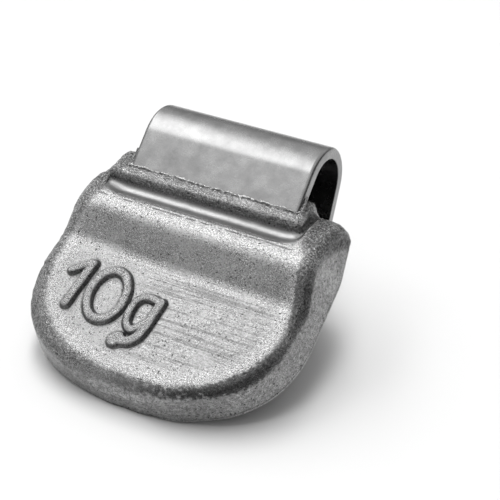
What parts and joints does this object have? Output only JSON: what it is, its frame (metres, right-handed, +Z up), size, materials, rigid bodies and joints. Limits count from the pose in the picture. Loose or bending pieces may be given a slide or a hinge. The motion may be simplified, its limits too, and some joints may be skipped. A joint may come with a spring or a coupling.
{
  "type": "wheel balance weight",
  "caption": "Clip-on wheel balance weight: a cast zinc body with a bulged front, and a folded spring-steel clip cast into its top that grips the edge of a rim.",
  "frame": {"origin": "middle of the bottom of the whole weight as it lies on a flat surface", "axes": "+Z up from the surface it lies on; X along the clip's bend; -Y from the clip towards the body's round lower edge"},
  "size_m": [0.0218, 0.0202, 0.0143],
  "materials": {
    "cast_zinc": "as cast, with a fine grain",
    "spring_steel": "satin"
  },
  "bodies": {
    "root": {"cast_body": "cast_zinc", "spring_clip": "spring_steel"}
  },
  "joints": []
}
